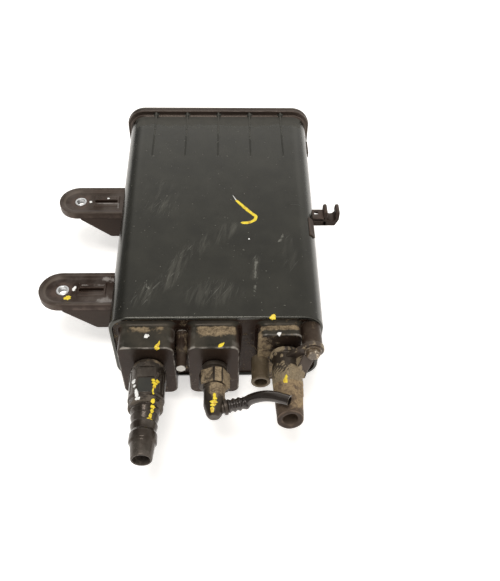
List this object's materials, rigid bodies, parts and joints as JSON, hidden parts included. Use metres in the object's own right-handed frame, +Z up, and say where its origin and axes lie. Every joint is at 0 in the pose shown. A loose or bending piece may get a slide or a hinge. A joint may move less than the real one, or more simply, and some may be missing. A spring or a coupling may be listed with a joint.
{
  "type": "charcoal canister",
  "caption": "Moulded box of activated carbon for a fuel vapour system, with bolting ears, a pipe clip, quick connectors on its ports, and cut tube and hose stubs.",
  "frame": {"origin": "middle of the case's flat underside, halfway between the port end and the weld flange", "axes": "+X right, towards the pipe clip; +Y along the case, from the ports towards the welded cover; +Z up"},
  "size_m": [0.2311, 0.3363, 0.0775],
  "materials": {
    "case_black": "worn satin black nylon, greyed and scratched",
    "zinc_steel": "zinc plated, dulled",
    "connector_black": "semi-gloss black nylon",
    "retainer_dusty": "black nylon under tan dust",
    "retainer_black": "black nylon",
    "seal_rubber": "black rubber",
    "purge_dusty": "black nylon under tan dust",
    "nylon_black": "glossy black nylon tube",
    "vent_dirty": "black nylon caked with tan dirt",
    "hose_rubber": "black rubber under tan dirt",
    "bolt_steel": "plated steel, rusty and dirty",
    "brass": "plain brass",
    "carbon": "black carbon pellets, drawn as one bed",
    "pad_felt": "pale felt",
    "plate_plastic": "black nylon",
    "spring_steel": "bright spring wire"
  },
  "bodies": {
    "root": {"case": "case_black", "end_cover": "case_black", "ear_collar_near": "zinc_steel", "ear_collar_far": "zinc_steel", "tank_connector": "connector_black", "tank_retainer": "retainer_dusty", "tank_seal": "seal_rubber", "purge_connector": "purge_dusty", "purge_retainer": "retainer_black", "purge_seal": "seal_rubber", "purge_tube": "nylon_black", "vent_connector": "vent_dirty", "vent_retainer": "retainer_black", "vent_seal": "seal_rubber", "vent_hose": "hose_rubber", "vent_bolt": "bolt_steel", "bolt_insert": "brass", "main_carbon": "carbon", "side_carbon": "carbon", "main_port_pad": "pad_felt", "side_port_pad": "pad_felt", "main_cover_pad": "pad_felt", "side_cover_pad": "pad_felt", "main_plate": "plate_plastic", "side_plate": "plate_plastic", "main_spring_left": "spring_steel", "main_spring_right": "spring_steel", "side_spring": "spring_steel"}
  },
  "joints": []
}
